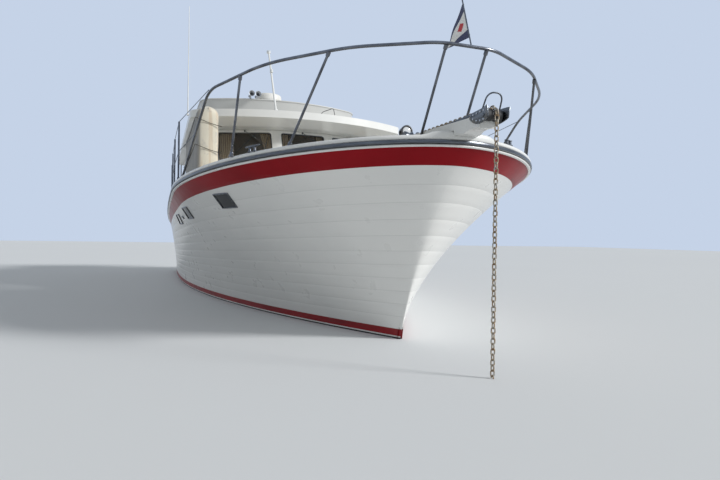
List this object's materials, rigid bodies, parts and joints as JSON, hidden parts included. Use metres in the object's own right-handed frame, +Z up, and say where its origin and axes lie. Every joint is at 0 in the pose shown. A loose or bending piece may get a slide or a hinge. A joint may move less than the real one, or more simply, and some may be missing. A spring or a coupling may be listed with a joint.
{
  "type": "trawler yacht",
  "caption": "Displacement motor yacht with a flared bow, stainless bow rail, three-pane saloon front, boat deck and open flybridge, its chain hanging over the stem roller.",
  "frame": {"origin": "amidships on the centreline, at the waterline", "axes": "+X forward, +Y to port, +Z up"},
  "size_m": [13.873, 4.3862, 7.34],
  "materials": {
    "hull_white": "gloss paint over planking",
    "sheer_red": "gloss paint",
    "boot_red": "gloss paint",
    "bottom_paint": "matt antifouling",
    "trim_white": "gloss paint",
    "rub_rail": "stainless capping",
    "house_white": "gloss paint",
    "deck_cream": "non-slip paint",
    "teak": "oiled",
    "stainless": "polished tube",
    "galvanised": "galvanised, weathered",
    "glazing": "tinted",
    "curtain_cloth": "woven",
    "cover_canvas": "canvas",
    "pennant_cloth": "nylon bunting",
    "vinyl": "marine vinyl",
    "mast_white": "satin paint",
    "bronze": "cast bronze",
    "engine_paint": "painted casting",
    "radome_white": "moulded",
    "black_case": "gloss paint",
    "roller_rubber": "moulded"
  },
  "bodies": {
    "hull": {"anchor": "galvanised", "anchor_chain": "galvanised", "anchor_platform": "trim_white", "back_cushion": "vinyl", "boat_deck": "house_white", "boot_stripe": "boot_red", "bow_rail": "stainless", "curtains": "curtain_cloth", "deck": "deck_cream", "deck_posts": "stainless", "engine": "engine_paint", "flybridge_coaming": "house_white", "flybridge_ladder": "stainless", "gunwale": "trim_white", "hatch_coaming": "trim_white", "helm_console": "house_white", "helm_seat": "house_white", "horns": "stainless", "house_aft_wall": "house_white", "house_front": "house_white", "house_side_port": "house_white", "house_side_starboard": "house_white", "hull_bottom": "bottom_paint", "hull_planking": "hull_white", "pennant": "pennant_cloth", "pennant_staff": "stainless", "portlights": "glazing", "radome": "radome_white", "roller_cheeks": "stainless", "rub_strip": "rub_rail", "saloon_sole": "teak", "searchlight": "black_case", "seat_cushion": "vinyl", "sheer_moulding": "trim_white", "sheer_strake": "sheer_red", "side_rail_port": "stainless", "side_rail_starboard": "stainless", "side_windows": "glazing", "signal_mast": "mast_white", "swim_platform": "teak", "tender_cover": "cover_canvas", "trunk_cabin": "house_white", "whip_mount": "stainless", "cleats": "stainless", "windlass": "black_case", "windscreen": "glazing"},
    "propeller": {"propeller": "bronze", "propeller_shaft": "stainless"},
    "rudder": {"rudder": "bottom_paint"},
    "helm_wheel": {"helm_wheel": "stainless"},
    "saloon_door": {"saloon_door": "teak", "door_window": "glazing"},
    "hatch_lid": {"hatch_lid": "house_white"},
    "transom_gate": {"transom_gate": "hull_white"},
    "vhf_whip": {"vhf_whip": "mast_white"},
    "bow_roller": {"bow_roller": "roller_rubber"}
  },
  "joints": [
    {"name": "propeller_spin", "type": "hinge", "parent": "hull", "child": "propeller", "pos_m": [-4.56, 0, -0.86], "axis": [1, 0, 0], "continuous": true},
    {"name": "rudder_turn", "type": "hinge", "parent": "hull", "child": "rudder", "pos_m": [-4.96, 0, -0.8], "axis": [0, 0, 1], "range_deg": [-35, 35]},
    {"name": "helm_turn", "type": "hinge", "parent": "hull", "child": "helm_wheel", "pos_m": [-0.77, -0.45, 3.4], "axis": [0.9397, 0, -0.342], "range_deg": [-540, 540]},
    {"name": "saloon_door_hinge", "type": "hinge", "parent": "hull", "child": "saloon_door", "pos_m": [-3.658, -0.352, 1.8], "axis": [0, 0, 1], "range_deg": [0, 100]},
    {"name": "hatch_hinge", "type": "hinge", "parent": "hull", "child": "hatch_lid", "pos_m": [3.86, 0, 2.12], "axis": [0, 1, 0], "range_deg": [0, 85]},
    {"name": "transom_gate_hinge", "type": "hinge", "parent": "hull", "child": "transom_gate", "pos_m": [-6.075, 1.064, 1], "axis": [0, 0, 1], "range_deg": [-100, 0]},
    {"name": "whip_fold", "type": "hinge", "parent": "hull", "child": "vhf_whip", "pos_m": [-2.2, -1.7, 3.7], "axis": [0, 1, 0], "range_deg": [-90, 0]},
    {"name": "roller_spin", "type": "hinge", "parent": "hull", "child": "bow_roller", "pos_m": [7.225, 0, 1.985], "axis": [0, 1, 0], "continuous": true}
  ],
  "couplings": [
    {"joint": "helm_turn", "follows": "rudder_turn", "ratio": 15.4}
  ]
}
